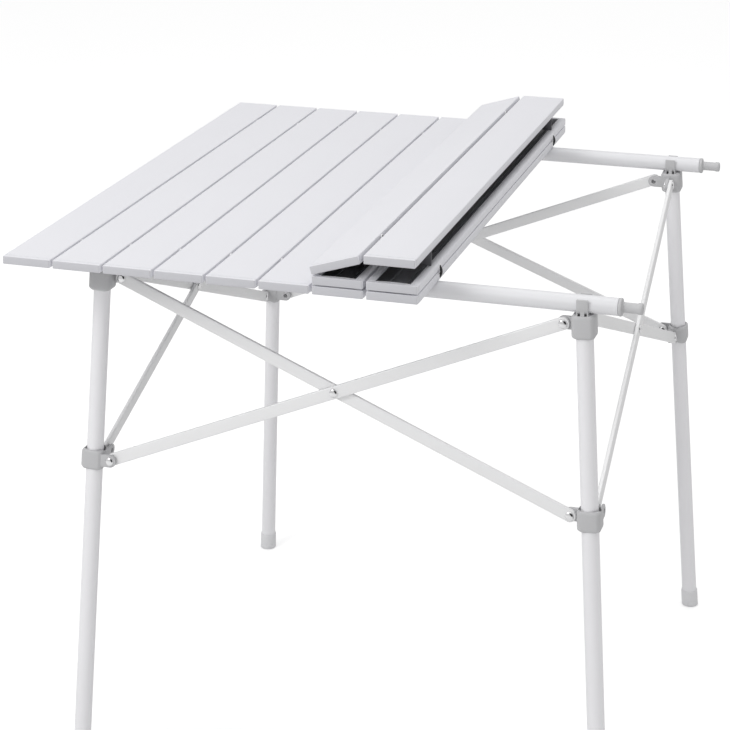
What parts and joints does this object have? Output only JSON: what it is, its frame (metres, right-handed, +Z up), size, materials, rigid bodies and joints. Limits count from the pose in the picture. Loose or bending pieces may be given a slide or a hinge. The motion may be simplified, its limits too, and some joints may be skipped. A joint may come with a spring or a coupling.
{
  "type": "folding side table",
  "caption": "Camping side table: slatted roll-up aluminium top on two rails over a scissor frame with splayed tube legs, shown half rolled up.",
  "frame": {"origin": "on the floor under the middle of the bounding box of the table as it stands, half rolled up; the middle of the frame is 10.2 mm to its right", "axes": "+X right along the two rails, +Y to the rear along the slats, +Z up"},
  "size_m": [0.6876, 0.698, 0.6661],
  "materials": {
    "slat_aluminium": "thin coated aluminium channel with a fine satin grain",
    "leg_aluminium": "drawn tube, satin anodised",
    "rail_aluminium": "drawn tube, satin anodised",
    "brace_aluminium": "flat bar, satin",
    "bracket_plastic": "moulded light grey nylon",
    "plug_plastic": "moulded light grey nylon",
    "foot_plastic": "moulded grey plastic",
    "collar_plastic": "moulded grey nylon",
    "connector_plastic": "moulded grey nylon",
    "rivet_metal": "bright domed rivet head"
  },
  "bodies": {
    "frame": {"leg_tube_front_left": "leg_aluminium", "foot_front_left": "foot_plastic", "top_connector_front_left": "connector_plastic", "rail_front": "rail_aluminium", "rail_plug_front_left": "plug_plastic", "rail_plug_front_right": "plug_plastic", "rivet_top_front_front_left": "rivet_metal", "rivet_top_left_front_left": "rivet_metal"},
    "leg_front_right": {"leg_tube_front_right": "leg_aluminium", "foot_front_right": "foot_plastic", "top_connector_front_right": "connector_plastic", "rivet_top_front_front_right": "rivet_metal", "rivet_top_right_front_right": "rivet_metal"},
    "leg_rear_left": {"leg_tube_rear_left": "leg_aluminium", "foot_rear_left": "foot_plastic", "top_connector_rear_left": "connector_plastic", "rail_rear": "rail_aluminium", "rail_plug_rear_left": "plug_plastic", "rail_plug_rear_right": "plug_plastic", "rivet_top_left_rear_left": "rivet_metal", "rivet_top_rear_rear_left": "rivet_metal"},
    "leg_rear_right": {"leg_tube_rear_right": "leg_aluminium", "foot_rear_right": "foot_plastic", "top_connector_rear_right": "connector_plastic", "rivet_top_right_rear_right": "rivet_metal"},
    "collar_front_left": {"sliding_collar_front_left": "collar_plastic"},
    "collar_front_right": {"sliding_collar_front_right": "collar_plastic"},
    "collar_rear_left": {"sliding_collar_rear_left": "collar_plastic"},
    "collar_rear_right": {"sliding_collar_rear_right": "collar_plastic"},
    "brace_front_inner": {"brace_front_inner": "brace_aluminium", "rivet_cross_front": "rivet_metal"},
    "brace_front_outer": {"brace_front_outer": "brace_aluminium"},
    "brace_left_inner": {"brace_left_inner": "brace_aluminium", "rivet_cross_left": "rivet_metal"},
    "brace_left_outer": {"brace_left_outer": "brace_aluminium"},
    "brace_right_inner": {"brace_right_inner": "brace_aluminium", "rivet_cross_right": "rivet_metal"},
    "brace_right_outer": {"brace_right_outer": "brace_aluminium"},
    "brace_rear_inner": {"brace_rear_inner": "brace_aluminium", "rivet_cross_rear": "rivet_metal", "rivet_top_rear_rear_right": "rivet_metal"},
    "brace_rear_outer": {"brace_rear_outer": "brace_aluminium"},
    "slats_07_08": {"slat_07": "slat_aluminium", "slat_08": "slat_aluminium"},
    "slats_09_10": {"slat_09": "slat_aluminium", "slat_10": "slat_aluminium"},
    "slat_11": {"slat_11": "slat_aluminium"},
    "slat_12": {"slat_12": "slat_aluminium", "slat_bracket_12_front": "bracket_plastic", "slat_bracket_12_rear": "bracket_plastic"},
    "slat_06": {"slat_06": "slat_aluminium"},
    "slat_05": {"slat_05": "slat_aluminium"},
    "slat_04": {"slat_04": "slat_aluminium"},
    "slat_03": {"slat_03": "slat_aluminium"},
    "slat_02": {"slat_02": "slat_aluminium"},
    "slat_01": {"slat_01": "slat_aluminium", "slat_bracket_01_front": "bracket_plastic", "slat_bracket_01_rear": "bracket_plastic"}
  },
  "joints": [
    {"name": "frame_fold", "type": "hinge", "parent": "frame", "child": "brace_front_inner", "pos_m": [-0.24001, -0.27231, 0.5875], "axis": [0, 0.9989, -0.0474], "range_deg": [0, 48.6]},
    {"name": "front_crossing", "type": "hinge", "parent": "brace_front_inner", "child": "brace_front_outer", "pos_m": [0.0102, -0.27711, 0.48647], "axis": [0, -0.9989, 0.0474], "range_deg": [0, 92.08]},
    {"name": "front_right_leg_swing", "type": "hinge", "parent": "brace_front_outer", "child": "leg_front_right", "pos_m": [0.26041, -0.27231, 0.5875], "axis": [0, -0.9989, 0.0474], "range_deg": [-48.6, 0]},
    {"name": "front_right_collar_turn", "type": "hinge", "parent": "brace_front_inner", "child": "collar_front_right", "pos_m": [0.2702, -0.2821, 0.3815], "axis": [0, -0.9989, 0.0474], "range_deg": [0, 43.48]},
    {"name": "front_left_collar_turn", "type": "hinge", "parent": "brace_front_outer", "child": "collar_front_left", "pos_m": [-0.2498, -0.2821, 0.3815], "axis": [0, -0.9989, 0.0474], "range_deg": [-43.48, 0]},
    {"name": "left_outer_brace_swing", "type": "hinge", "parent": "frame", "child": "brace_left_outer", "pos_m": [-0.26211, -0.25021, 0.5875], "axis": [-0.9989, 0, 0.0474], "range_deg": [0, 48.6]},
    {"name": "left_crossing", "type": "hinge", "parent": "brace_left_outer", "child": "brace_left_inner", "pos_m": [-0.26691, 0, 0.48647], "axis": [-0.9989, 0, 0.0474], "range_deg": [-92.08, 0]},
    {"name": "rear_left_leg_swing", "type": "hinge", "parent": "brace_left_inner", "child": "leg_rear_left", "pos_m": [-0.26211, 0.25021, 0.5875], "axis": [-0.9989, 0, 0.0474], "range_deg": [0, 48.6]},
    {"name": "rear_left_collar_turn", "type": "hinge", "parent": "brace_left_outer", "child": "collar_rear_left", "pos_m": [-0.2719, 0.26, 0.3815], "axis": [-0.9989, 0, 0.0474], "range_deg": [-43.48, 0]},
    {"name": "right_inner_brace_swing", "type": "hinge", "parent": "leg_front_right", "child": "brace_right_inner", "pos_m": [0.28251, -0.25021, 0.5875], "axis": [0.9989, 0, 0.0474], "range_deg": [-48.6, 0]},
    {"name": "right_crossing", "type": "hinge", "parent": "brace_right_inner", "child": "brace_right_outer", "pos_m": [0.28731, 0, 0.48647], "axis": [0.9989, 0, 0.0474], "range_deg": [0, 92.08]},
    {"name": "rear_right_leg_swing", "type": "hinge", "parent": "brace_right_outer", "child": "leg_rear_right", "pos_m": [0.28251, 0.25021, 0.5875], "axis": [0.9989, 0, 0.0474], "range_deg": [-48.6, 0]},
    {"name": "rear_right_collar_turn", "type": "hinge", "parent": "brace_right_inner", "child": "collar_rear_right", "pos_m": [0.2923, 0.26, 0.3815], "axis": [0.9989, 0, 0.0474], "range_deg": [0, 43.48]},
    {"name": "rear_outer_brace_swing", "type": "hinge", "parent": "leg_rear_left", "child": "brace_rear_outer", "pos_m": [-0.24001, 0.27231, 0.5875], "axis": [0, 0.9989, 0.0474], "range_deg": [0, 48.6]},
    {"name": "rear_crossing", "type": "hinge", "parent": "brace_rear_outer", "child": "brace_rear_inner", "pos_m": [0.0102, 0.27711, 0.48647], "axis": [0, 0.9989, 0.0474], "range_deg": [-92.08, 0]},
    {"name": "top_lift", "type": "slide", "parent": "frame", "child": "slats_07_08", "axis": [0, 0, 1], "range_m": [0, 0.2]},
    {"name": "unroll", "type": "hinge", "parent": "slats_07_08", "child": "slats_09_10", "pos_m": [0.12655, 0, 0.62925], "axis": [0, 1, 0], "range_deg": [0, 180]},
    {"name": "fold_10_11", "type": "hinge", "parent": "slats_09_10", "child": "slat_11", "pos_m": [0.00855, 0, 0.63945], "axis": [0, 1, 0], "range_deg": [-163, 0]},
    {"name": "fold_11_12", "type": "hinge", "parent": "slat_11", "child": "slat_12", "pos_m": [0.06497, 0, 0.6567], "axis": [0, 1, 0], "range_deg": [-17, 0]},
    {"name": "roll_up", "type": "hinge", "parent": "slats_07_08", "child": "slat_06", "pos_m": [0.00855, 0, 0.6288], "axis": [0, 1, 0], "range_deg": [0, 30]},
    {"name": "roll_05_06", "type": "hinge", "parent": "slat_06", "child": "slat_05", "pos_m": [-0.05045, 0, 0.6288], "axis": [0, 1, 0], "range_deg": [0, 30]},
    {"name": "roll_04_05", "type": "hinge", "parent": "slat_05", "child": "slat_04", "pos_m": [-0.10945, 0, 0.6288], "axis": [0, 1, 0], "range_deg": [0, 30]},
    {"name": "roll_03_04", "type": "hinge", "parent": "slat_04", "child": "slat_03", "pos_m": [-0.16845, 0, 0.6288], "axis": [0, 1, 0], "range_deg": [0, 30]},
    {"name": "roll_02_03", "type": "hinge", "parent": "slat_03", "child": "slat_02", "pos_m": [-0.22745, 0, 0.6288], "axis": [0, 1, 0], "range_deg": [0, 30]},
    {"name": "roll_01_02", "type": "hinge", "parent": "slat_02", "child": "slat_01", "pos_m": [-0.28645, 0, 0.6288], "axis": [0, 1, 0], "range_deg": [0, 30]}
  ],
  "couplings": [
    {"joint": "front_crossing", "follows": "frame_fold", "ratio": 1.8946},
    {"joint": "front_right_leg_swing", "follows": "frame_fold", "ratio": -1},
    {"joint": "front_right_collar_turn", "follows": "frame_fold", "ratio": 0.89465},
    {"joint": "front_left_collar_turn", "follows": "frame_fold", "ratio": -0.89465},
    {"joint": "left_outer_brace_swing", "follows": "frame_fold", "ratio": 1},
    {"joint": "left_crossing", "follows": "frame_fold", "ratio": -1.8946},
    {"joint": "rear_left_leg_swing", "follows": "frame_fold", "ratio": 1},
    {"joint": "rear_left_collar_turn", "follows": "frame_fold", "ratio": -0.89465},
    {"joint": "right_inner_brace_swing", "follows": "frame_fold", "ratio": -1},
    {"joint": "right_crossing", "follows": "frame_fold", "ratio": 1.8946},
    {"joint": "rear_right_leg_swing", "follows": "frame_fold", "ratio": -1},
    {"joint": "rear_right_collar_turn", "follows": "frame_fold", "ratio": 0.89465},
    {"joint": "rear_outer_brace_swing", "follows": "frame_fold", "ratio": 1},
    {"joint": "rear_crossing", "follows": "frame_fold", "ratio": -1.8946},
    {"joint": "fold_10_11", "follows": "unroll", "ratio": -0.90556},
    {"joint": "fold_11_12", "follows": "unroll", "ratio": -0.094444},
    {"joint": "roll_05_06", "follows": "roll_up", "ratio": 1},
    {"joint": "roll_04_05", "follows": "roll_up", "ratio": 1},
    {"joint": "roll_03_04", "follows": "roll_up", "ratio": 1},
    {"joint": "roll_02_03", "follows": "roll_up", "ratio": 1},
    {"joint": "roll_01_02", "follows": "roll_up", "ratio": 1}
  ]
}
